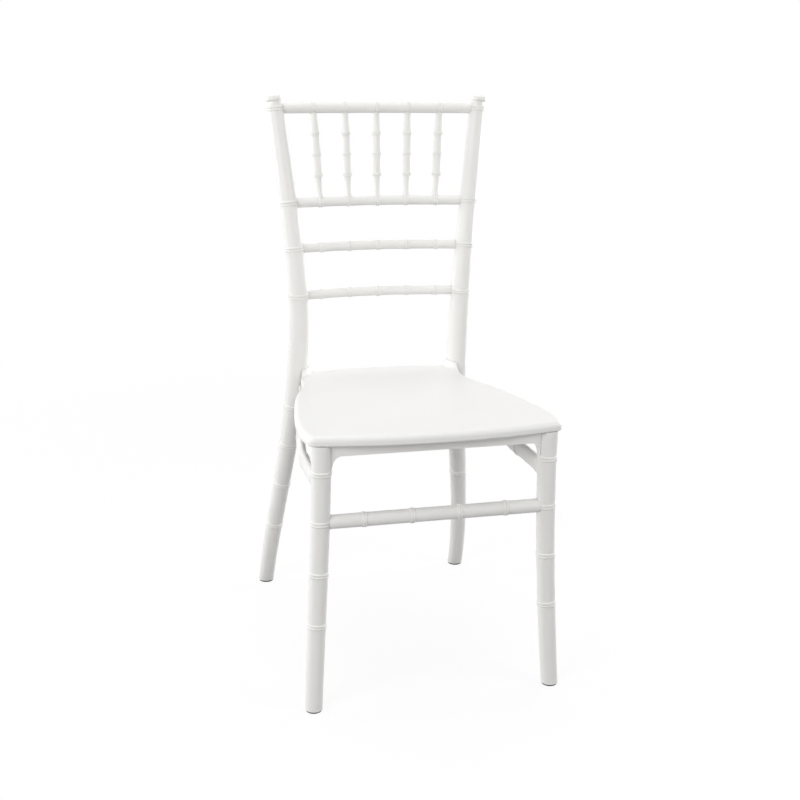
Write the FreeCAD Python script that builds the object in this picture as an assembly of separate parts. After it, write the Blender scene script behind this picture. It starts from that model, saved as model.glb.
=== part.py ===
"""Stacking chiavari chair of white moulded polypropylene, built up from separate members.

Millimetres. +Z is up, the front of the seat faces -Y, and the origin lies on the floor
under the middle of the chair's footprint box.
"""
import FreeCAD, Part
import math
import os
from FreeCAD import Vector

# Overall sizes
overall_height = 920.0
seat_height = 446.0
front_foot_half_spread = 195.8
rear_foot_half_spread = 190.0
foot_setback = 255.8

# Back posts: half distance between them and set-back at each bend, with the diameter there
shin_height = 220.0
shin_half_spread, shin_setback, shin_diameter = 170.0, 187.5, 30.6
knee_half_spread, knee_setback, knee_diameter = 147.0, 144.5, 35.4
waist_rise = 94.0
waist_half_spread, waist_setback, waist_diameter = 145.4, 132.5, 34.0
shoulder_half_spread, shoulder_setback, shoulder_diameter = 160.4, 143.6, 28.8
crown_half_spread, crown_setback, crown_diameter = 179.8, 163.6, 25.6
rear_foot_diameter = 28.0
rear_ring_heights = (377.0, 301.0, 220.0, 134.0)

# Finial on top of each post
finial_cap_diameter = 26.6
finial_cap_height = 9.0
finial_neck_diameter = 21.5
finial_cap_offset = 2.0
finial_round = 3.0

# Rails of the back, measured down from the top of the finials
top_rail_drop = 21.9
spindle_bay = 158.2
upper_gap = 77.3
lower_gap = 81.7
top_rail_diameter = 17.8
upper_rail_diameter = 16.6
lower_rail_diameter = 15.6
top_rail_bow = 14.8
cross_rail_bow = 19.6
top_ring_pitch = 56.1
cross_ring_pitch = 51.7
ring_count = 5

# Spindles: spans from ring to ring, each a run of (share of the height, radius)
spindle_profile = (((0.0, 8.2), (0.06, 6.2), (0.12, 5.4), (0.2, 5.7), (0.285, 6.3)),
                   ((0.285, 7.4), (0.506, 7.2)), ((0.506, 7.3), (0.727, 7.0)),
                   ((0.727, 7.4), (0.8, 6.7), (0.88, 6.2), (1.0, 6.2)))
spindle_peg_diameter = 6.0
spindle_peg_depth = 5.0

# Raised double rings that stand for the nodes of bamboo
post_bead_height, post_bead_proud = 4.8, 1.3
rail_bead_height, rail_bead_proud = 4.2, 1.2
spindle_bead_height, spindle_bead_proud = 3.0, 0.9
bead_root = 0.8
groove_rise = 0.35
oval_bead_steps = ((-0.5, 0.0), (-0.25, 0.8), (0.0, 1.0), (0.25, 0.8), (0.5, 0.0))

# Front legs
front_top_half_spread, front_top_setback, front_top_diameter = 181.0, 240.0, 30.6
front_knee_height = 222.5
front_knee_half_spread, front_knee_setback, front_knee_diameter = 185.0, 240.6, 29.4
front_shin_height = 100.0
front_shin_half_spread, front_shin_setback, front_shin_diameter = 190.9, 246.8, 28.6
front_foot_diameter = 27.2
front_ring_heights = (385.0, 305.5, 222.5, 139.0)

# Front stretcher
stretcher_diameter = 22.0
stretcher_ring_pitch = 76.0
stretcher_ring_count = 4

# Seat panel
seat_thickness = 16.0
seat_front_setback = 250.0
seat_front_bow = 24.0
seat_front_half_width = 199.5
seat_side_outline = ((204.6, -222.0), (205.4, -190.0), (202.6, -150.0), (196.8, -104.0),
                     (189.2, -60.0), (180.2, -14.0), (171.6, 22.0), (162.4, 51.0),
                     (151.6, 78.0), (146.0, 104.0), (144.0, 128.0))
seat_rear_half_width = 140.0
seat_rear_setback = 147.0
seat_rear_bow = 11.0
seat_corner_radius = 13.0
seat_slope = 0.0413
seat_low_setback = 40.0
seat_rise_radius = 520.0
seat_top_round = 8.5
seat_bottom_round = 3.0
seat_dish = 4.0
seat_dish_half_width = 165.0
seat_dish_half_length = 175.0
seat_dish_setback = -70.0
seat_grid_pitch = 20.0
seat_ear_reach = 15.0
seat_ear_rise = 13.0
seat_ear_rim = 1.4
seat_ear_foot = 7.0
seat_ear_inset = 1.5
seat_skin = 6.0
seat_rib = 3.0
seat_cell_rows = 5
seat_cell_pitch = 62.0
seat_cell_columns = 6
seat_cell_margin = 10.0

# Aprons that carry the seat
apron_thickness = 14.0
apron_drop = 18.0
apron_fillet_reach = 15.0
apron_fillet_fall = 20.0
side_apron_path = ((178.6, -130.0), (172.0, -35.0), (156.0, 28.0), (138.5, 84.0))
side_apron_rear_inset = 6.0
gusset_width = 18.0
gusset_drop = 20.0
gusset_length = 62.0
gusset_bend_place, gusset_bend_share = 0.62, 0.3
tenon_width = 8.0
tenon_height = 11.0
tenon_stop = 6.5

# Side braces between the front legs and the side aprons
brace_height = 360.0
brace_thickness = 14.5
brace_depth = 27.5
brace_bend_radius = 48.0
brace_top_setback = -35.0
brace_bulge = 5.0
brace_ring_shares = (0.17, 0.56, 0.86)
brace_peg_diameter = 7.0
brace_peg_depth = 9.0

# Joints between members
joint_gap = 0.2
peg_share = 0.52
peg_stop = 3.0
peg_root = 10.0

# Foot glides
glide_height = 3.0
glide_inset = 1.2
glide_stem_diameter = 7.0
glide_stem_length = 14.0
glide_round = 0.8

# Seat screws, driven up through the aprons
screw_diameter = 4.0
screw_head_diameter = 8.0
screw_head_height = 2.6
screw_grip = 8.0
screw_head_recess = 5.0
screw_drive_across = 3.0
screw_drive_depth = 1.5
front_screw_reach = 80.0
rear_screw_reach = 70.0
side_screw_setbacks = (-110.0, 8.0)

# Steps used to draw the smooth shapes
bisections = 60
post_sections = 18
leg_sections = 9
brace_sections = 16
brace_steps = 100
quarter_steps = 4
small_step = 1.0

# Places worked out from the sizes above
top_rail_height = overall_height - top_rail_drop
upper_rail_height = top_rail_height - spindle_bay
middle_rail_height = upper_rail_height - upper_gap
lower_rail_height = middle_rail_height - lower_gap
stretcher_height = front_ring_heights[1]
seat_front_edge = -(seat_front_setback + seat_front_bow)
far = 2.0 * overall_height
X_AXIS, Y_AXIS, Z_AXIS = Vector(1, 0, 0), Vector(0, 1, 0), Vector(0, 0, 1)
SIDES = (("left", -1), ("right", 1))


def smooth_curve(points):
    """A smooth curve through the given points."""
    curve = Part.BSplineCurve()
    curve.interpolate(points)
    return curve


def at_height(curve, height):
    """The point and upward direction of a rising curve at a height."""
    low, high = curve.FirstParameter, curve.LastParameter
    for _ in range(bisections):
        middle = (low + high) / 2
        if curve.value(middle).z < height:
            low = middle
        else:
            high = middle
    return curve.value(low), Vector(*curve.tangent(low)[0]).normalize()


def between(stations, place):
    """Reads a value from (place, value) pairs by straight-line interpolation."""
    for (a, first), (b, second) in zip(stations, stations[1:]):
        if place <= b:
            return first + (second - first) * (place - a) / (b - a)
    return stations[-1][1]


def closed_wire(edges):
    """One wire from edges given in any order."""
    return Part.Wire(Part.sortEdges(edges)[0])


def quarter(centre, first, second):
    """A quarter of an ellipse about a centre, from one end point to the other."""
    turns = [math.pi / 2 * step / quarter_steps for step in range(quarter_steps + 1)]
    return smooth_curve([centre + (first - centre) * math.cos(turn)
                         + (second - centre) * math.sin(turn) for turn in turns]).toShape()


def disc(centre, axis, radius):
    """A circular wire."""
    return Part.Wire([Part.Circle(centre, axis, radius).toShape()])


def turned_member(curve, diameters, low, high, sections, grow=0.0):
    """A round member that follows a rising curve and tapers with height."""
    wires = []
    for step in range(sections):
        height = low + (high - low) * step / (sections - 1)
        centre, axis = at_height(curve, height)
        foot = step == 0
        wires.append(disc(centre, Z_AXIS if foot else axis, between(diameters, height) / 2 + grow))
    return Part.makeLoft(wires, True, False)


def upright(profile, centre, axis):
    """Spins a closed profile of (radius, height) wires, then stands it on an axis."""
    solid = Part.Face(profile).revolve(Vector(0, 0, 0), Z_AXIS, 360)
    solid.Placement = FreeCAD.Placement(centre, FreeCAD.Rotation(Z_AXIS, axis))
    return solid


def collar(centre, axis, radius, bead_height, bead_proud, grow=0.0):
    """Two rounded beads side by side round a member."""
    root = radius - bead_root
    crest = radius + bead_proud + grow
    groove = radius + groove_rise + grow
    reach = bead_height + grow

    def point(r, h):
        return Vector(r, 0, h)
    inner = root / 2
    lower = Part.Arc(point(root, -reach), point(crest, -reach / 2), point(groove, 0))
    upper = Part.Arc(point(groove, 0), point(crest, reach / 2), point(root, reach))
    edges = [lower, upper, Part.LineSegment(point(root, reach), point(inner, reach)),
             Part.LineSegment(point(inner, reach), point(inner, -reach)),
             Part.LineSegment(point(inner, -reach), point(root, -reach))]
    return upright(Part.Wire([edge.toShape() for edge in edges]), centre, axis)


def peg(start, direction, length, diameter):
    """A straight round peg."""
    return Part.makeCylinder(diameter / 2, length, start, direction)


def mirrored(shape):
    """The same piece on the other side of the chair."""
    return shape.mirror(Vector(0, 0, 0), X_AXIS)


def largest(shape):
    """The main solid of a cut piece, without the crumbs beside it."""
    return max(shape.Solids, key=lambda solid: solid.Volume)


def for_side(shape, side):
    """Shapes are drawn on the right, at positive X."""
    return shape.copy() if side > 0 else mirrored(shape)


def block(low, high):
    """A box between two opposite corners."""
    return Part.makeBox(high.x - low.x, high.y - low.y, high.z - low.z, low)


# Seat profile from front to back, used by the panel and by all that carries it
def seat_top(setback):
    """Height of the seat's upper face at a distance behind the chair's middle."""
    height = seat_height - seat_slope * (setback + seat_front_setback)
    if setback > seat_low_setback:
        height += (setback - seat_low_setback) ** 2 / (2 * seat_rise_radius)
    return height


def seat_line(offset, front, rear):
    """Edges of the seat profile, a straight run and a rising curve, lowered by an offset."""
    def point(setback):
        return Vector(0, setback, seat_top(setback) - offset)
    middle = (seat_low_setback + rear) / 2
    return [Part.LineSegment(point(front), point(seat_low_setback)).toShape(),
            Part.Arc(point(seat_low_setback), point(middle), point(rear)).toShape()]


def seat_layer(upper, lower):
    """A slab between two offsets below the seat's upper face, wider than the chair."""
    front, rear = -foot_setback - seat_front_bow * 2, foot_setback
    top, bottom = seat_line(upper, front, rear), seat_line(lower, front, rear)
    ends = [Part.makeLine(Vector(0, y, seat_top(y) - upper), Vector(0, y, seat_top(y) - lower))
            for y in (front, rear)]
    slab = Part.Face(closed_wire(top + bottom + ends)).extrude(Vector(far, 0, 0))
    slab.translate(Vector(-far / 2, 0, 0))
    return slab


above_frame = seat_layer(-overall_height / 4, seat_thickness + joint_gap)

# Back posts
post_curve = smooth_curve([
    Vector(rear_foot_half_spread, foot_setback, glide_height),
    Vector(shin_half_spread, shin_setback, shin_height),
    Vector(knee_half_spread, knee_setback, seat_height),
    Vector(waist_half_spread, waist_setback, seat_height + waist_rise),
    Vector(shoulder_half_spread, shoulder_setback, upper_rail_height),
    Vector(crown_half_spread, crown_setback, overall_height)])
post_diameters = (
    (glide_height, rear_foot_diameter), (shin_height, shin_diameter),
    (seat_height, knee_diameter), (seat_height + waist_rise, waist_diameter),
    (upper_rail_height, shoulder_diameter), (overall_height, crown_diameter))


def build_post(grow=0.0):
    """One back post, from the floor to its finial, with its double rings."""
    base, axis = at_height(post_curve, top_rail_height)
    shape = turned_member(post_curve, post_diameters, glide_height, top_rail_height,
                          post_sections, grow)
    rings = rear_ring_heights + (lower_rail_height, middle_rail_height, upper_rail_height,
                                 top_rail_height)
    for height in rings:
        centre, direction = at_height(post_curve, height)
        radius = between(post_diameters, height) / 2
        shape = shape.fuse(collar(centre, direction, radius, post_bead_height,
                                  post_bead_proud, grow))
    if grow:
        return shape
    cap_radius = finial_cap_diameter / 2
    tilt = math.acos(axis.z)
    lean = (cap_radius - finial_round) * math.sin(tilt) - finial_round * (1 - math.cos(tilt))
    reach = (overall_height - lean - base.z) / axis.z
    neck = peg(base, axis, reach - finial_cap_height / 2, finial_neck_diameter)
    cap = peg(base + axis * (reach - finial_cap_height) + X_AXIS * finial_cap_offset, axis,
              finial_cap_height, finial_cap_diameter)
    rims = [edge for edge in cap.Edges if len(edge.Vertexes) == 1]
    return shape.fuse(neck).fuse(cap.makeFillet(finial_round, rims))


post_envelope = build_post(joint_gap)
post_envelopes = [for_side(post_envelope, side) for _, side in SIDES]


class Rail:
    """A round rail between the posts, bowed towards the back."""

    def __init__(self, height, diameter, bow, ring_pitch):
        self.end, _ = at_height(post_curve, height)
        self.diameter, self.bow, self.ring_pitch = diameter, bow, ring_pitch
        self.radius = (self.end.x ** 2 + bow ** 2) / (2 * bow)
        self.ring_places = [(index - (ring_count - 1) / 2) * ring_pitch
                            for index in range(ring_count)]

    def point(self, x):
        """The point of the rail's centre line at a distance from the chair's middle."""
        back = self.end.y + self.bow - self.radius
        return Vector(x, back + math.sqrt(self.radius ** 2 - x ** 2), self.end.z)

    def direction(self, x):
        """Along the rail, towards positive X."""
        return Vector(math.sqrt(self.radius ** 2 - x ** 2), -x, 0).normalize()

    def body(self, grow=0.0):
        """The rail with its rings, its ends on the axes of the posts."""
        start, stop = self.point(-self.end.x), self.point(self.end.x)
        line = Part.Wire([Part.Arc(start, self.point(0), stop).toShape()])
        section = disc(start, self.direction(-self.end.x), self.diameter / 2 + grow)
        shape = line.makePipe(Part.Face(section))
        for x in self.ring_places:
            shape = shape.fuse(collar(self.point(x), self.direction(x), self.diameter / 2,
                                      rail_bead_height, rail_bead_proud, grow))
        return shape

    def pegs(self, grow=0.0):
        """The reduced ends that enter the posts, or with growth the sockets for them."""
        post_radius = between(post_diameters, self.end.z) / 2
        length = post_radius - peg_stop + peg_root + grow
        shapes = []
        for _, side in SIDES:
            inward = self.direction(side * self.end.x) * -side
            start = self.point(side * self.end.x) + inward * (peg_stop - grow)
            shapes.append(peg(start, inward, length, self.diameter * peg_share + 2 * grow))
        return shapes


def build_rail(rail):
    """A rail coped to the posts, with a peg at each end."""
    shape = rail.body().cut(post_envelopes)
    return shape.fuse(rail.pegs())


rails = {
    "top_rail": Rail(top_rail_height, top_rail_diameter, top_rail_bow, top_ring_pitch),
    "cross_rail_upper": Rail(upper_rail_height, upper_rail_diameter, cross_rail_bow,
                             cross_ring_pitch),
    "cross_rail_middle": Rail(middle_rail_height, lower_rail_diameter, cross_rail_bow,
                              cross_ring_pitch),
    "cross_rail_lower": Rail(lower_rail_height, lower_rail_diameter, cross_rail_bow,
                             cross_ring_pitch)}


def spindle_ends(index):
    """Where a spindle's axis meets the two rails, and its upward direction."""
    bottom_rail, top_rail = rails["cross_rail_upper"], rails["top_rail"]
    bottom = bottom_rail.point(bottom_rail.ring_places[index])
    top = top_rail.point(top_rail.ring_places[index])
    return bottom, top, (top - bottom).normalize()


def spindle_pegs(index, grow=0.0):
    """The lower and upper pegs of a spindle, or with growth the sockets for them."""
    bottom, top, rise = spindle_ends(index)
    diameter = spindle_peg_diameter + 2 * grow
    length = spindle_peg_depth + peg_root + grow
    low = bottom + rise * (upper_rail_diameter / 2 - spindle_peg_depth - grow)
    high = top - rise * (top_rail_diameter / 2 - spindle_peg_depth - grow)
    return peg(low, rise, length, diameter), peg(high, rise * -1, length, diameter)


def build_spindle(index, rail_envelopes):
    """A turned spindle, stepped at its three double rings and coped to both rails."""
    bottom, top, rise = spindle_ends(index)
    length = (top - bottom).Length
    spans = [[Vector(radius, 0, share * length) for share, radius in span]
             for span in spindle_profile]
    foot, head = Vector(0, 0, 0), Vector(0, 0, length)
    edges = [smooth_curve(span).toShape() for span in spans]
    edges += [Part.makeLine(span[-1], following[0]) for span, following in zip(spans, spans[1:])]
    edges += [Part.makeLine(foot, spans[0][0]), Part.makeLine(foot, head),
              Part.makeLine(head, spans[-1][-1])]
    shape = upright(closed_wire(edges), bottom, rise)
    for span in spindle_profile[1:]:
        share, radius = span[0]
        shape = shape.fuse(collar(bottom + rise * share * length, rise, radius,
                                  spindle_bead_height, spindle_bead_proud))
    return shape.cut(rail_envelopes).fuse(list(spindle_pegs(index)))


# Front legs
leg_curve = smooth_curve([
    Vector(front_foot_half_spread, -foot_setback, glide_height),
    Vector(front_shin_half_spread, -front_shin_setback, front_shin_height),
    Vector(front_knee_half_spread, -front_knee_setback, front_knee_height),
    Vector(front_top_half_spread, -front_top_setback, seat_height)])
leg_diameters = (
    (glide_height, front_foot_diameter), (front_shin_height, front_shin_diameter),
    (front_knee_height, front_knee_diameter), (seat_height, front_top_diameter))


def build_leg(grow=0.0):
    """One front leg, from the floor up into the seat's thickness."""
    shape = turned_member(leg_curve, leg_diameters, glide_height, seat_height, leg_sections, grow)
    for height in front_ring_heights:
        centre, direction = at_height(leg_curve, height)
        radius = between(leg_diameters, height) / 2
        shape = shape.fuse(collar(centre, direction, radius, post_bead_height,
                                  post_bead_proud, grow))
    return shape


leg_envelope = build_leg(joint_gap)
leg_envelopes = [for_side(leg_envelope, side) for _, side in SIDES]


def stretcher_pegs(grow=0.0):
    """The ends of the front stretcher that enter the legs, or the sockets for them."""
    end, _ = at_height(leg_curve, stretcher_height)
    length = between(leg_diameters, stretcher_height) / 2 - peg_stop + peg_root + grow
    diameter = stretcher_diameter * peg_share + 2 * grow
    return [peg(Vector(side * (end.x - peg_stop + grow), end.y, end.z),
                Vector(-side, 0, 0), length, diameter) for _, side in SIDES]


def build_stretcher():
    """The round bar between the front legs."""
    end, _ = at_height(leg_curve, stretcher_height)
    shape = peg(Vector(-end.x, end.y, end.z), X_AXIS, 2 * end.x, stretcher_diameter)
    for index in range(stretcher_ring_count):
        x = (index - (stretcher_ring_count - 1) / 2) * stretcher_ring_pitch
        shape = shape.fuse(collar(Vector(x, end.y, end.z), X_AXIS, stretcher_diameter / 2,
                                  rail_bead_height, rail_bead_proud))
    return shape.cut(leg_envelopes).fuse(stretcher_pegs())


# Aprons, the frame that carries the seat
def apron_base(setback):
    """Height of an apron's lower edge at a distance behind the chair's middle."""
    return seat_top(setback) - seat_thickness - apron_drop


apron_level = apron_base(-front_top_setback)
leg_at_apron, _ = at_height(leg_curve, apron_level)
leg_radius_at_apron = between(leg_diameters, apron_level) / 2
post_at_apron, _ = at_height(post_curve, apron_base(knee_setback))
post_radius_at_apron = between(post_diameters, post_at_apron.z) / 2
side_apron_end = post_at_apron - X_AXIS * side_apron_rear_inset


def tenon(start, direction, radius, grow=0.0):
    """A flat tenon standing on edge, that points against its direction into a member."""
    middle = start.z + apron_drop / 2
    half_width, half_height = tenon_width / 2 + grow, tenon_height / 2 + grow
    across = Vector(abs(direction.y), abs(direction.x), 0) * half_width
    near = start + direction * (tenon_stop - grow)
    tip = start + direction * (radius + peg_root)
    low = Vector(min(near.x, tip.x), min(near.y, tip.y), middle - half_height) - across
    high = Vector(max(near.x, tip.x), max(near.y, tip.y), middle + half_height) + across
    return block(low, high)


def front_tenons(grow=0.0):
    """Tenons of the front apron in the two front legs."""
    return [tenon(Vector(side * leg_at_apron.x, leg_at_apron.y, leg_at_apron.z),
                  Vector(-side, 0, 0), leg_radius_at_apron, grow) for _, side in SIDES]


def rear_tenons(grow=0.0):
    """Tenons of the rear apron in the two back posts."""
    return [tenon(Vector(side * post_at_apron.x, post_at_apron.y, post_at_apron.z),
                  Vector(-side, 0, 0), post_radius_at_apron, grow) for _, side in SIDES]


def side_tenons(grow=0.0):
    """Tenons of the right side apron, in the front leg and in the back post."""
    return [tenon(leg_at_apron, Y_AXIS, leg_radius_at_apron, grow),
            tenon(side_apron_end, Y_AXIS * -1, post_radius_at_apron, grow)]


def build_front_apron():
    """A straight apron whose lower edge runs down the legs in a hollow curve."""
    inner = leg_at_apron.x - leg_radius_at_apron
    start, low = inner - apron_fillet_reach, apron_level - apron_fillet_fall

    def point(x, z):
        return Vector(x, leg_at_apron.y - apron_thickness / 2, z)
    edges = [Part.makeLine(point(-start, apron_level), point(start, apron_level)),
             Part.makeLine(point(-leg_at_apron.x, seat_height), point(leg_at_apron.x, seat_height))]
    for _, side in SIDES:
        edges += [quarter(point(side * start, low), point(side * inner, low),
                          point(side * start, apron_level)),
                  Part.makeLine(point(side * inner, low), point(side * leg_at_apron.x, low)),
                  Part.makeLine(point(side * leg_at_apron.x, low),
                                point(side * leg_at_apron.x, seat_height))]
    shape = Part.Face(closed_wire(edges)).extrude(Vector(0, apron_thickness, 0))
    return shape.cut(leg_envelopes + [above_frame]).fuse(front_tenons())


def build_rear_apron():
    """A straight apron between the back posts."""
    half = apron_thickness / 2
    shape = block(Vector(-post_at_apron.x, post_at_apron.y - half, post_at_apron.z),
                  Vector(post_at_apron.x, post_at_apron.y + half, seat_height))
    return shape.cut(post_envelopes + [above_frame]).fuse(rear_tenons())


def side_layer(drop):
    """All that lies above the side apron's lower edge, with the edge lowered by a drop."""
    front = leg_at_apron.y + leg_radius_at_apron
    rear = post_at_apron.y
    start, swell = front + apron_fillet_reach, rear - gusset_length
    low = apron_base(start) - apron_fillet_fall

    def point(y, z):
        return Vector(0, y, z - drop)
    foot = point(rear, apron_base(swell) - gusset_drop)
    bend = point(swell + gusset_bend_place * gusset_length,
                 apron_base(swell) - gusset_bend_share * gusset_drop)
    edges = [Part.makeLine(point(leg_at_apron.y, seat_height), point(rear, seat_height)),
             Part.makeLine(point(leg_at_apron.y, seat_height), point(leg_at_apron.y, low)),
             Part.makeLine(point(leg_at_apron.y, low), point(front, low)),
             quarter(point(start, low), point(front, low), point(start, apron_base(start))),
             Part.makeLine(point(start, apron_base(start)), point(swell, apron_base(swell))),
             Part.Arc(point(swell, apron_base(swell)), bend, foot).toShape(),
             Part.makeLine(foot, point(rear, seat_height))]
    return Part.Face(closed_wire(edges)).extrude(Vector(overall_height, 0, 0))


side_path = smooth_curve([Vector(leg_at_apron.x, leg_at_apron.y, 0)]
                         + [Vector(x, y, 0) for x, y in side_apron_path]
                         + [Vector(side_apron_end.x, side_apron_end.y, 0)])


def side_place(setback):
    """The X of the side apron's middle at a distance behind the chair's middle."""
    low, high = side_path.FirstParameter, side_path.LastParameter
    for _ in range(bisections):
        middle = (low + high) / 2
        if side_path.value(middle).y < setback:
            low = middle
        else:
            high = middle
    return side_path.value(low).x


def build_side_apron():
    """The right side apron, which follows the seat and swells into the back post."""
    inner, outer = [], []
    places = [leg_at_apron.y] + [y for _, y in side_apron_path] + [post_at_apron.y]
    for place in places:
        ahead, behind = side_place(place + small_step), side_place(place - small_step)
        across = Vector(2 * small_step, behind - ahead, 0).normalize()
        half = (gusset_width if place == places[-1] else apron_thickness) / 2
        centre = Vector(side_place(place), place, 0)
        inner.append(centre - across * half)
        outer.append(centre + across * half)
    edges = [smooth_curve(inner).toShape(), smooth_curve(outer).toShape(),
             Part.makeLine(inner[0], outer[0]), Part.makeLine(inner[-1], outer[-1])]
    band = Part.Face(closed_wire(edges)).extrude(Vector(0, 0, seat_height))
    shape = band.common(side_layer(0)).cut([leg_envelope, post_envelope, above_frame])
    return largest(shape).fuse(side_tenons())


# Side braces
brace_foot, _ = at_height(leg_curve, brace_height)
brace_top_level = apron_base(brace_top_setback)


def brace_stations(count):
    """Centre, direction and inward normal at even steps along the right brace."""
    bend_start = brace_top_setback - brace_bend_radius
    run = bend_start - brace_foot.y
    turn = brace_bend_radius * math.pi / 2
    rise = max(brace_top_level + apron_drop / 2 - brace_height - brace_bend_radius, 0)
    total = run + turn + rise
    top_x = side_place(brace_top_setback)

    def place(travel):
        share = travel / total
        bulge = brace_bulge * 4 * share * (1 - share)
        x = brace_foot.x + (top_x - brace_foot.x) * share + bulge
        if travel <= run:
            return Vector(x, brace_foot.y + travel, brace_height)
        if travel <= run + turn:
            angle = (travel - run) / brace_bend_radius
            return Vector(x, bend_start + brace_bend_radius * math.sin(angle),
                          brace_height + brace_bend_radius * (1 - math.cos(angle)))
        return Vector(x, brace_top_setback, brace_height + brace_bend_radius + travel - run - turn)
    stations = []
    for step in range(count):
        travel = total * step / (count - 1)
        ahead = place(min(travel + small_step, total))
        behind = place(max(travel - small_step, 0))
        direction = (ahead - behind).normalize()
        normal = X_AXIS.cross(direction).normalize()
        stations.append((place(travel), direction, normal))
    return stations


def oval(centre, direction, normal, depth, thickness):
    """An upright oval wire across a brace."""
    edge = Part.Ellipse(Vector(0, 0, 0), depth / 2, thickness / 2).toShape()
    side = direction.cross(normal)
    edge.Placement = FreeCAD.Placement(centre, FreeCAD.Rotation(normal, side, direction, "ZXY"))
    return Part.Wire([edge])


def brace_pegs(grow=0.0):
    """Pegs of the right brace, into the front leg and up into the side apron."""
    radius = between(leg_diameters, brace_height) / 2
    diameter = brace_peg_diameter + 2 * grow
    top = Vector(side_place(brace_top_setback), brace_top_setback, brace_top_level)
    return [peg(brace_foot + Y_AXIS * (peg_stop - grow), Y_AXIS,
                radius - peg_stop + peg_root + grow, diameter),
            peg(top - Z_AXIS * peg_root, Z_AXIS, peg_root + brace_peg_depth + grow, diameter)]


def build_brace():
    """A bent oval arm from the front leg up to the side apron, with three double rings."""
    sections = [oval(*station, brace_depth, brace_thickness)
                for station in brace_stations(brace_sections)]
    shape = Part.makeLoft(sections, True, False)
    stations = brace_stations(brace_steps + 1)
    beads = []
    for share in brace_ring_shares:
        centre, direction, normal = stations[round(share * brace_steps)]
        for shift in (-rail_bead_height / 2, rail_bead_height / 2):
            wires = []
            for step, height in oval_bead_steps:
                swell = height * rail_bead_proud if height else -bead_root
                place = centre + direction * (shift + step * rail_bead_height)
                wires.append(oval(place, direction, normal * -1, brace_depth + 2 * swell,
                                  brace_thickness + 2 * swell))
            beads.append(Part.makeLoft(wires, True, True))
    shape = shape.fuse(beads)
    shape = shape.cut([leg_envelope, side_layer(joint_gap)])
    return shape.fuse(brace_pegs())


# Seat screws
def screw_places():
    """Where each seat screw stands, with the height of its apron's lower edge there."""
    rear_y = post_at_apron.y
    places = []
    for _, side in SIDES:
        places.append(Vector(side * front_screw_reach, leg_at_apron.y, apron_level))
        places.append(Vector(side * rear_screw_reach, rear_y, post_at_apron.z))
        for setback in side_screw_setbacks:
            places.append(Vector(side * side_place(setback), setback, apron_base(setback)))
    return places


def screw_top(place):
    """Height that the tip of a seat screw reaches inside the seat."""
    return seat_top(place.y) - seat_thickness + screw_grip


def screw_bores():
    """Clearance holes for the screws, stepped for their heads, open at the bottom."""
    bores = []
    for place in screw_places():
        seat = place.z + screw_head_recess
        wide = peg(place - Z_AXIS * apron_drop, Z_AXIS, apron_drop + screw_head_recess,
                   screw_head_diameter + 2 * joint_gap)
        narrow = peg(Vector(place.x, place.y, seat), Z_AXIS,
                     screw_top(place) + joint_gap - seat, screw_diameter + 2 * joint_gap)
        bores.append(wide.fuse(narrow))
    return bores


def build_screws():
    """All seat screws, as separate solids."""
    screws = []
    for place in screw_places():
        bearing = place.z + screw_head_recess
        head = peg(Vector(place.x, place.y, bearing - screw_head_height), Z_AXIS,
                   screw_head_height, screw_head_diameter)
        corners = [Vector(place.x + screw_drive_across / math.sqrt(3) * math.cos(turn),
                          place.y + screw_drive_across / math.sqrt(3) * math.sin(turn),
                          bearing - screw_head_height)
                   for turn in (math.pi / 3 * corner for corner in range(7))]
        drive = Part.Face(Part.makePolygon(corners)).extrude(Vector(0, 0, screw_drive_depth))
        shank = peg(Vector(place.x, place.y, bearing - joint_gap), Z_AXIS,
                    screw_top(place) - bearing + joint_gap, screw_diameter)
        screws.append(head.cut(drive).fuse(shank))
    return Part.makeCompound(screws)


# Seat panel
def seat_dip(x, y):
    """How far the middle of the seat is dished below its edges."""
    across = 1 - (x / seat_dish_half_width) ** 2
    along = 1 - ((y - seat_dish_setback) / seat_dish_half_length) ** 2
    return seat_dish * across ** 2 * along ** 2 if across > 0 and along > 0 else 0.0


def below_seat_face(offset):
    """All that lies below the dished upper face of the seat, lowered by an offset."""
    half_width = seat_grid_pitch * math.ceil(overall_height / 4 / seat_grid_pitch)
    front, rear = seat_front_edge - 2 * seat_grid_pitch, seat_rear_setback + 2 * seat_grid_pitch
    columns = round(2 * half_width / seat_grid_pitch)
    rows = round((rear - front) / seat_grid_pitch)
    points = []
    for column in range(columns + 1):
        x = -half_width + 2 * half_width * column / columns
        line = [front + (rear - front) * row / rows for row in range(rows + 1)]
        points.append([Vector(x, y, seat_top(y) - seat_dip(x, y) - offset) for y in line])
    face = Part.BSplineSurface()
    face.interpolate(points)
    return face.toShape().extrude(Vector(0, 0, -4 * seat_thickness))


def seat_cells():
    """Hollows between the ribs under the seat, inside the ring of aprons."""
    front = leg_at_apron.y + apron_thickness / 2 + seat_cell_margin
    rear = post_at_apron.y - apron_thickness / 2 - seat_cell_margin
    row_depth = (rear - front) / seat_cell_rows
    cells = []
    for row in range(seat_cell_rows):
        near = front + row * row_depth
        away = near + row_depth - seat_rib
        half = min(side_place(near), side_place(away)) - apron_thickness / 2 - seat_cell_margin
        for column in range(seat_cell_columns):
            middle = (column - (seat_cell_columns - 1) / 2) * seat_cell_pitch
            low = max(middle - (seat_cell_pitch - seat_rib) / 2, -half)
            high = min(middle + (seat_cell_pitch - seat_rib) / 2, half)
            if high - low > seat_cell_margin:
                cells.append(block(Vector(low, near, 0), Vector(high, away, far)))
    return Part.makeCompound(cells).common(below_seat_face(seat_skin))


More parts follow.
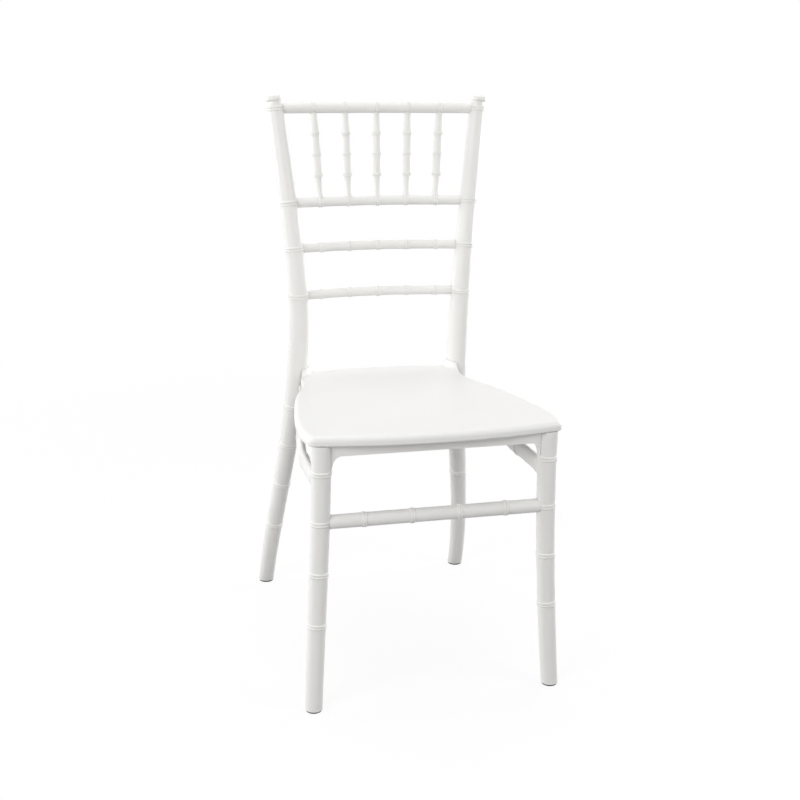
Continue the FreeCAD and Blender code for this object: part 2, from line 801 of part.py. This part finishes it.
def seat_ear():
    """A hollow-curved ring by which the seat runs up the right back post."""
    centre, axis = at_height(post_curve, seat_top(knee_setback))
    radius = between(post_diameters, centre.z) / 2
    outer, rim = radius + seat_ear_reach, radius + seat_ear_rim

    def point(r, h):
        return Vector(r, 0, h)
    edges = [quarter(point(outer, seat_ear_rise), point(outer, 0), point(rim, seat_ear_rise)),
             Part.makeLine(point(rim, seat_ear_rise), point(0, seat_ear_rise)),
             Part.makeLine(point(0, seat_ear_rise), point(0, -seat_ear_foot)),
             Part.makeLine(point(0, -seat_ear_foot), point(outer, -seat_ear_foot)),
             Part.makeLine(point(outer, -seat_ear_foot), point(outer, 0))]
    return upright(closed_wire(edges), centre, axis)


def build_seat():
    """The moulded seat, dished on top, rounded along its edges and ribbed underneath."""
    front, rear = -seat_front_setback, seat_rear_setback

    def point(x, y):
        return Vector(x, y, 0)
    corner = seat_front_half_width
    edges = [Part.Arc(point(-corner, front), point(0, seat_front_edge),
                      point(corner, front)).toShape(),
             Part.Arc(point(-seat_rear_half_width, rear), point(0, rear + seat_rear_bow),
                      point(seat_rear_half_width, rear)).toShape()]
    for _, side in SIDES:
        line = [(corner, front)] + list(seat_side_outline) + [(seat_rear_half_width, rear)]
        edges.append(smooth_curve([point(side * x, y) for x, y in line]).toShape())
    plate = Part.Face(closed_wire(edges)).extrude(Vector(0, 0, 2 * seat_height))
    uprights = [edge for edge in plate.Edges if edge.BoundBox.ZLength > seat_height
                and edge.BoundBox.YMax < front + small_step]
    plate = plate.makeFillet(seat_corner_radius, uprights)
    shape = plate.common(seat_layer(-seat_thickness, seat_thickness)).common(below_seat_face(0))
    for radius, offset in ((seat_top_round, 0), (seat_bottom_round, seat_thickness)):
        rim = [edge for edge in shape.Edges if on_seat_face(edge, offset)]
        shape = shape.makeFillet(radius, rim)
    for _, side in SIDES:
        room = plate.translated(Vector(-side * seat_ear_inset, -seat_ear_inset, 0))
        shape = shape.fuse(for_side(seat_ear(), side).common(room))
    return largest(shape.cut(post_envelopes)).cut(seat_cells()).cut(screw_bores())


def on_seat_face(edge, offset):
    """Whether an edge of the outline lies along the upper or the lower face of the seat."""
    middle = edge.valueAt((edge.FirstParameter + edge.LastParameter) / 2)
    level = seat_top(middle.y) - offset
    across = edge.BoundBox.XLength > 2 * seat_rear_half_width and abs(middle.x) < small_step
    crossing = across and abs(middle.y - seat_low_setback) < small_step
    return abs(middle.z - level) < seat_rib / 10 and not crossing


# Foot glides
def foot_places():
    """Where each glide stands, with the diameter of the foot above it."""
    for end, setback, spread, diameter in (
            ("front", -foot_setback, front_foot_half_spread, front_foot_diameter),
            ("rear", foot_setback, rear_foot_half_spread, rear_foot_diameter)):
        for name, side in SIDES:
            yield f"foot_glide_{end}_{name}", Vector(side * spread, setback, 0), diameter


def build_glide(centre, diameter):
    """A hard pad under a foot, with a stem that plugs into the leg."""
    pad = peg(centre, Z_AXIS, glide_height, diameter - 2 * glide_inset)
    rim = [edge for edge in pad.Edges if edge.BoundBox.ZMax < glide_round]
    stem = peg(centre, Z_AXIS, glide_height + glide_stem_length, glide_stem_diameter)
    return pad.makeFillet(glide_round, rim).fuse(stem)


glide_sockets = [peg(centre, Z_AXIS, glide_height + glide_stem_length + joint_gap,
                     glide_stem_diameter + 2 * joint_gap)
                 for _, centre, _ in foot_places()]


def build_parts():
    """Every piece of the chair by its name."""
    parts = {}
    bores = screw_bores()
    rail_envelopes = [rails["top_rail"].body(joint_gap), rails["cross_rail_upper"].body(joint_gap)]
    post_sockets = [socket for rail in rails.values() for socket in rail.pegs(joint_gap)]
    post_sockets += side_tenons(joint_gap) + rear_tenons(joint_gap) + glide_sockets
    post = build_post().cut(post_sockets)
    leg_sockets = front_tenons(joint_gap) + side_tenons(joint_gap) + stretcher_pegs(joint_gap)
    leg_sockets += [brace_pegs(joint_gap)[0]] + glide_sockets
    leg = build_leg().cut(leg_sockets + [above_frame])
    side_apron = build_side_apron().cut(bores + [brace_pegs(joint_gap)[1]])
    brace = build_brace()
    for name, side in SIDES:
        parts[f"back_post_{name}"] = for_side(post, side)
    for name, rail in rails.items():
        shape = build_rail(rail)
        if name in ("top_rail", "cross_rail_upper"):
            held = 1 if name == "top_rail" else 0
            shape = shape.cut([spindle_pegs(index, joint_gap)[held]
                               for index in range(ring_count)])
        parts[name] = shape
    for index in range(ring_count):
        parts[f"spindle_{index + 1}"] = build_spindle(index, rail_envelopes)
    for name, side in SIDES:
        parts[f"front_leg_{name}"] = for_side(leg, side)
    parts["front_stretcher"] = build_stretcher()
    parts["front_apron"] = build_front_apron().cut(bores)
    parts["rear_apron"] = build_rear_apron().cut(bores)
    for name, side in SIDES:
        parts[f"side_apron_{name}"] = for_side(side_apron, side)
        parts[f"side_brace_{name}"] = for_side(brace, side)
    parts["seat_panel"] = build_seat()
    parts["seat_screws"] = build_screws()
    for name, centre, diameter in foot_places():
        parts[name] = build_glide(centre, diameter)
    return parts


parts = build_parts()
bounds = Part.makeCompound(list(parts.values())).optimalBoundingBox(False, False)
shift = Vector(-bounds.Center.x, -bounds.Center.y, 0)
os.makedirs("parts", exist_ok=True)
for name, shape in parts.items():
    shape.translate(shift)
    solids = len(shape.Solids)
    print(f"{name:22s} solids {solids} valid {shape.isValid()} volume {shape.Volume / 1000:8.2f} cm3")
    shape.exportStep(f"parts/{name}.step")
print("size", [round(v, 2) for v in (bounds.XLength, bounds.YLength, bounds.ZLength)],
      "shift", [round(v, 3) for v in shift])
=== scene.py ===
"""Looks of a chiavari chair, moulded in white polypropylene. Metres, +Z up, the seat faces -Y."""
import math

import bpy
from mathutils import Matrix, Vector

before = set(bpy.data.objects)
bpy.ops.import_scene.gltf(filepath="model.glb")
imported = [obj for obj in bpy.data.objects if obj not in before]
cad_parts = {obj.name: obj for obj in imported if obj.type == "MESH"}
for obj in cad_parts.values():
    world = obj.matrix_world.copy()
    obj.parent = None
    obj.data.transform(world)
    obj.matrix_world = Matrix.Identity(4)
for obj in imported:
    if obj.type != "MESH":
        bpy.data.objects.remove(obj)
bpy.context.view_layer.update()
bpy.ops.object.select_all(action="DESELECT")


# Frame of the chair: posts, legs, rails, aprons and braces
# The members are moulded in white polypropylene with a fine spark-eroded grain, plug into one another
# at the double rings, and carry faint flow marks from the mould; their grooves are painted darker, as
# painted shade with patches of dust.
frame_white = (0.86, 0.853, 0.832, 1.0)
# Grey that the white parts are darkened towards in their grooves and hollows: painted shade, with
# patches of dust.
groove_dust_and_painted_shade = (0.5, 0.49, 0.465, 1.0)
groove_reach = 0.005
frame_roughness = 0.42
frame_grain_scale = 1400.0
frame_grain_depth = 0.00003
flow_mark_scale = 9.0
dust_and_shade_amount = 0.85
dust_and_shade_patch_scale = 60.0


def add_sockets(group, direction, sockets):
    """Gives a node group its named inputs or outputs, with their resting values."""
    for name, kind, value in sockets:
        socket = group.interface.new_socket(name=name, in_out=direction, socket_type=kind)
        if value is not None:
            socket.default_value = value


def build_grain_group():
    """Fine moulded grain: a height for bump, and the roughness that goes with it."""
    group = bpy.data.node_groups.new("moulded grain", "ShaderNodeTree")
    add_sockets(group, "INPUT", [("Grain Scale", "NodeSocketFloat", None),
                                 ("Flow Scale", "NodeSocketFloat", flow_mark_scale),
                                 ("Roughness", "NodeSocketFloat", None)])
    add_sockets(group, "OUTPUT", [("Height", "NodeSocketFloat", None),
                                  ("Roughness", "NodeSocketFloat", None)])
    nodes, links = group.nodes, group.links
    inputs, outputs = nodes.new("NodeGroupInput"), nodes.new("NodeGroupOutput")
    place = nodes.new("ShaderNodeTexCoord")
    grain = nodes.new("ShaderNodeTexNoise")
    grain.inputs["Detail"].default_value = 3.0
    flow = nodes.new("ShaderNodeTexNoise")
    flow.inputs["Detail"].default_value = 4.0
    flow.inputs["Distortion"].default_value = 0.6
    spread = nodes.new("ShaderNodeMapRange")
    spread.inputs["From Min"].default_value = 0.3
    spread.inputs["From Max"].default_value = 0.7
    spread.inputs["To Min"].default_value = -0.05
    spread.inputs["To Max"].default_value = 0.06
    total = nodes.new("ShaderNodeMath")
    links.new(place.outputs["Object"], grain.inputs["Vector"])
    links.new(place.outputs["Object"], flow.inputs["Vector"])
    links.new(inputs.outputs["Grain Scale"], grain.inputs["Scale"])
    links.new(inputs.outputs["Flow Scale"], flow.inputs["Scale"])
    links.new(flow.outputs["Fac"], spread.inputs["Value"])
    links.new(spread.outputs["Result"], total.inputs[0])
    links.new(inputs.outputs["Roughness"], total.inputs[1])
    links.new(grain.outputs["Fac"], outputs.inputs["Height"])
    links.new(total.outputs["Value"], outputs.inputs["Roughness"])
    return group


def build_dust_and_shade_group():
    """Tints the hollows that ambient occlusion finds towards a second colour, broken up into patches:
    painted shade with dust on the white parts, dust on the black glides.
    """
    group = bpy.data.node_groups.new("groove dust and painted shade", "ShaderNodeTree")
    add_sockets(group, "INPUT", [("Clean", "NodeSocketColor", None),
                                 ("Dust and Shade", "NodeSocketColor", None),
                                 ("Reach", "NodeSocketFloat", groove_reach),
                                 ("Amount", "NodeSocketFloat", dust_and_shade_amount)])
    add_sockets(group, "OUTPUT", [("Color", "NodeSocketColor", None)])
    nodes, links = group.nodes, group.links
    inputs, outputs = nodes.new("NodeGroupInput"), nodes.new("NodeGroupOutput")
    # The ambient-occlusion mask darkens the hollows of the white parts as painted shade, broken into
    # patches of dust; on the black glides it lightens them with dust.
    hollow = nodes.new("ShaderNodeAmbientOcclusion")
    hollow.samples = 8
    hidden = nodes.new("ShaderNodeMapRange")
    hidden.inputs["From Min"].default_value = 0.9
    hidden.inputs["From Max"].default_value = 0.4
    place = nodes.new("ShaderNodeTexCoord")
    patches = nodes.new("ShaderNodeTexNoise")
    patches.inputs["Scale"].default_value = dust_and_shade_patch_scale
    patches.inputs["Detail"].default_value = 5.0
    broken = nodes.new("ShaderNodeMath")
    broken.operation = "MULTIPLY"
    held = nodes.new("ShaderNodeMath")
    held.operation = "MULTIPLY"
    tint = nodes.new("ShaderNodeMix")
    tint.data_type = "RGBA"
    links.new(inputs.outputs["Reach"], hollow.inputs["Distance"])
    links.new(hollow.outputs["AO"], hidden.inputs["Value"])
    links.new(place.outputs["Object"], patches.inputs["Vector"])
    links.new(hidden.outputs["Result"], broken.inputs[0])
    links.new(patches.outputs["Fac"], broken.inputs[1])
    links.new(broken.outputs["Value"], held.inputs[0])
    links.new(inputs.outputs["Amount"], held.inputs[1])
    links.new(held.outputs["Value"], tint.inputs["Factor"])
    links.new(inputs.outputs["Clean"], tint.inputs["A"])
    links.new(inputs.outputs["Dust and Shade"], tint.inputs["B"])
    links.new(tint.outputs["Result"], outputs.inputs["Color"])
    return group


grain_group = build_grain_group()
dust_and_shade_group = build_dust_and_shade_group()


def moulded_plastic(name, colour, hollow_dust_and_shade, roughness, grain_scale, grain_depth):
    """A satin moulded plastic with grain, flow marks, and dust and painted shade in its hollows."""
    material = bpy.data.materials.new(name)
    material.use_nodes = True
    nodes, links = material.node_tree.nodes, material.node_tree.links
    shader = nodes["Principled BSDF"]
    shader.inputs["IOR"].default_value = 1.49
    grain = nodes.new("ShaderNodeGroup")
    grain.node_tree = grain_group
    grain.inputs["Grain Scale"].default_value = grain_scale
    grain.inputs["Roughness"].default_value = roughness
    dust_and_shade_tint = nodes.new("ShaderNodeGroup")
    dust_and_shade_tint.node_tree = dust_and_shade_group
    dust_and_shade_tint.inputs["Clean"].default_value = colour
    dust_and_shade_tint.inputs["Dust and Shade"].default_value = hollow_dust_and_shade
    bump = nodes.new("ShaderNodeBump")
    bump.inputs["Distance"].default_value = grain_depth
    links.new(dust_and_shade_tint.outputs["Color"], shader.inputs["Base Color"])
    links.new(grain.outputs["Roughness"], shader.inputs["Roughness"])
    links.new(grain.outputs["Height"], bump.inputs["Height"])
    links.new(bump.outputs["Normal"], shader.inputs["Normal"])
    return material


def finish_nodes(names, material):
    """Puts one material on every slot of these nodes."""
    for name in names:
        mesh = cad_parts[name].data
        mesh.materials.clear()
        mesh.materials.append(material)


frame_plastic = moulded_plastic("moulded white", frame_white, groove_dust_and_painted_shade, frame_roughness,
                                frame_grain_scale, frame_grain_depth)
glide_nodes = sorted(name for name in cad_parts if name.startswith("foot_glide"))
frame_nodes = sorted(set(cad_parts) - set(glide_nodes) - {"seat_panel", "seat_screws"})
finish_nodes(frame_nodes, frame_plastic)


# Seat panel
# One moulding in the same white polypropylene with a slightly coarser grain on its face, ribbed below,
# laid on the aprons and screwed up from underneath.
seat_white = (0.87, 0.865, 0.852, 1.0)
seat_roughness = 0.4
seat_grain_scale = 1100.0
seat_grain_depth = 0.00004
# The seat's hollows take the same painted groove shade, with patches of dust.
seat_plastic = moulded_plastic("seat white", seat_white, groove_dust_and_painted_shade, seat_roughness,
                               seat_grain_scale, seat_grain_depth)
finish_nodes(["seat_panel"], seat_plastic)


# Foot glides
# Hard black polyethylene pads, plugged into the ends of the legs.
glide_black = (0.022, 0.022, 0.023, 1.0)
glide_dust = (0.09, 0.085, 0.08, 1.0)
glide_roughness = 0.5
glide_grain_scale = 900.0
glide_grain_depth = 0.00005
glide_plastic = moulded_plastic("glide black", glide_black, glide_dust, glide_roughness,
                                glide_grain_scale, glide_grain_depth)
finish_nodes(glide_nodes, glide_plastic)


# Seat screws
# Zinc-plated steel screws with a hexagon socket, driven up through the aprons into the seat.
zinc_colour = (0.62, 0.62, 0.6, 1.0)
zinc_roughness = 0.32
zinc_grain_scale = 2500.0
zinc = bpy.data.materials.new("zinc screw")
zinc.use_nodes = True
zinc_shader = zinc.node_tree.nodes["Principled BSDF"]
zinc_shader.inputs["Base Color"].default_value = zinc_colour
zinc_shader.inputs["Metallic"].default_value = 1.0
zinc_grain = zinc.node_tree.nodes.new("ShaderNodeGroup")
zinc_grain.node_tree = grain_group
zinc_grain.inputs["Grain Scale"].default_value = zinc_grain_scale
zinc_grain.inputs["Roughness"].default_value = zinc_roughness
zinc.node_tree.links.new(zinc_grain.outputs["Roughness"], zinc_shader.inputs["Roughness"])
finish_nodes(["seat_screws"], zinc)


# Studio floor
# A wide white sweep that is plain white to the camera away from the chair and keeps its soft shadow.
floor_half = 30.0
floor_cells = 8
floor_roughness = 0.9
floor_tint = (0.97, 0.97, 0.97, 1.0)
floor_bounce = 0.34
floor_veil = 0.88
floor_clear_from, floor_clear_to = 0.7, 2.2


def backdrop_rays(nodes, links):
    """One for the rays that show the white backdrop: those of the camera, mirrors and glass."""
    rays = nodes.new("ShaderNodeLightPath")
    mirrored = nodes.new("ShaderNodeMath")
    mirrored.operation = "MAXIMUM"
    seen = nodes.new("ShaderNodeMath")
    seen.operation = "MAXIMUM"
    links.new(rays.outputs["Is Glossy Ray"], mirrored.inputs[0])
    links.new(rays.outputs["Is Transmission Ray"], mirrored.inputs[1])
    links.new(rays.outputs["Is Camera Ray"], seen.inputs[0])
    links.new(mirrored.outputs["Value"], seen.inputs[1])
    return seen.outputs["Value"]


bpy.ops.mesh.primitive_grid_add(x_subdivisions=floor_cells, y_subdivisions=floor_cells,
                                size=2 * floor_half)
floor = bpy.context.object
floor.name = "studio_floor"
floor_paper = bpy.data.materials.new("studio paper")
floor_paper.use_nodes = True
nodes, links = floor_paper.node_tree.nodes, floor_paper.node_tree.links
paper = nodes["Principled BSDF"]
paper.inputs["Roughness"].default_value = floor_roughness
paper.inputs["Specular IOR Level"].default_value = 0.0
glow = nodes.new("ShaderNodeEmission")
seen = backdrop_rays(nodes, links)
place = nodes.new("ShaderNodeTexCoord")
distance = nodes.new("ShaderNodeVectorMath")
distance.operation = "LENGTH"
away = nodes.new("ShaderNodeMapRange")
away.interpolation_type = "SMOOTHSTEP"
away.inputs["From Min"].default_value = floor_clear_from
away.inputs["From Max"].default_value = floor_clear_to
away.inputs["To Min"].default_value = floor_veil
share = nodes.new("ShaderNodeMath")
share.operation = "MULTIPLY"
shade = nodes.new("ShaderNodeMix")
shade.data_type = "RGBA"
shade.inputs["A"].default_value = (floor_bounce, floor_bounce, floor_bounce, 1.0)
shade.inputs["B"].default_value = floor_tint
blend = nodes.new("ShaderNodeMixShader")
links.new(place.outputs["Object"], distance.inputs[0])
links.new(distance.outputs["Value"], away.inputs["Value"])
links.new(away.outputs["Result"], share.inputs[0])
links.new(seen, share.inputs[1])
links.new(share.outputs["Value"], blend.inputs["Fac"])
links.new(seen, shade.inputs["Factor"])
links.new(shade.outputs["Result"], paper.inputs["Base Color"])
links.new(paper.outputs["BSDF"], blend.inputs[1])
links.new(glow.outputs["Emission"], blend.inputs[2])
links.new(blend.outputs["Shader"], nodes["Material Output"].inputs["Surface"])
floor.data.materials.append(floor_paper)


# Studio light
# A broad soft box overhead, one in front at either hand, one at each side towards the back, and weak
# ones high behind and high at the left, in a dim room. Reflections see the white backdrop, as the
# camera does.
room_light = 0.06
backdrop_light = 1.0
studio_white = (1.0, 1.0, 1.0, 1.0)
world = bpy.data.worlds.new("studio")
bpy.context.scene.world = world
world.use_nodes = True
nodes, links = world.node_tree.nodes, world.node_tree.links
room = nodes["Background"]
backdrop = nodes.new("ShaderNodeBackground")
blend = nodes.new("ShaderNodeMixShader")
room.inputs["Color"].default_value = studio_white
room.inputs["Strength"].default_value = room_light
backdrop.inputs["Color"].default_value = studio_white
backdrop.inputs["Strength"].default_value = backdrop_light
links.new(backdrop_rays(nodes, links), blend.inputs["Fac"])
links.new(room.outputs["Background"], blend.inputs[1])
links.new(backdrop.outputs["Background"], blend.inputs[2])
links.new(blend.outputs["Shader"], nodes["World Output"].inputs["Surface"])


chair_middle = Vector((0.0, 0.0, 0.45))


def add_soft_box(name, place, width, height, power):
    """A rectangular area lamp that faces the chair."""
    lamp = bpy.data.lights.new(name, "AREA")
    lamp.shape = "RECTANGLE"
    lamp.size, lamp.size_y = width, height
    lamp.energy = power
    holder = bpy.data.objects.new(name, lamp)
    holder.location = place
    holder.rotation_euler = (chair_middle - Vector(place)).to_track_quat("-Z", "Y").to_euler()
    bpy.context.scene.collection.objects.link(holder)


add_soft_box("over_box", (0.0, 0.1, 3.4), 2.4, 2.4, 40.0)
add_soft_box("front_left_box", (-2.3, -1.9, 1.45), 1.6, 1.3, 54.0)
add_soft_box("front_right_box", (2.3, -1.9, 1.45), 1.6, 1.3, 37.0)
add_soft_box("back_left_box", (-2.6, 1.2, 0.95), 2.2, 1.6, 38.0)
add_soft_box("back_right_box", (2.6, 1.2, 0.95), 2.2, 1.6, 52.0)
add_soft_box("back_high_box", (0.0, 2.26, 2.71), 2.2, 1.6, 12.0)
add_soft_box("left_high_box", (-2.26, 0.0, 2.71), 2.2, 1.6, 4.0)


# Camera
# Eye height a little over the chair, turned to its left front corner, with the frame of the photograph.
view_azimuth, view_elevation, view_roll = (math.radians(a) for a in (-14.818, 15.2956, 0.8653))
view_distance = 2.19432
view_aim = Vector((0.0, -0.003572, 0.45))
focal_length, sensor_width = 58.418, 36.0
lens_shift_x, lens_shift_y = 0.00127, -0.01909
back = Vector((math.sin(view_azimuth) * math.cos(view_elevation),
               -math.cos(view_azimuth) * math.cos(view_elevation),
               math.sin(view_elevation)))
level_right = (-back).cross(Vector((0.0, 0.0, 1.0))).normalized()
level_up = level_right.cross(-back)
right = level_right * math.cos(view_roll) + level_up * math.sin(view_roll)
up = level_up * math.cos(view_roll) - level_right * math.sin(view_roll)
camera_data = bpy.data.cameras.new("camera")
camera_data.sensor_width = sensor_width
camera_data.lens = focal_length
camera_data.shift_x, camera_data.shift_y = lens_shift_x, lens_shift_y
camera = bpy.data.objects.new("camera", camera_data)
camera.matrix_world = (Matrix.Translation(view_aim + back * view_distance)
                       @ Matrix((right, up, back)).transposed().to_4x4())
bpy.context.scene.collection.objects.link(camera)
bpy.context.scene.camera = camera
bpy.context.scene.view_settings.view_transform = "Standard"
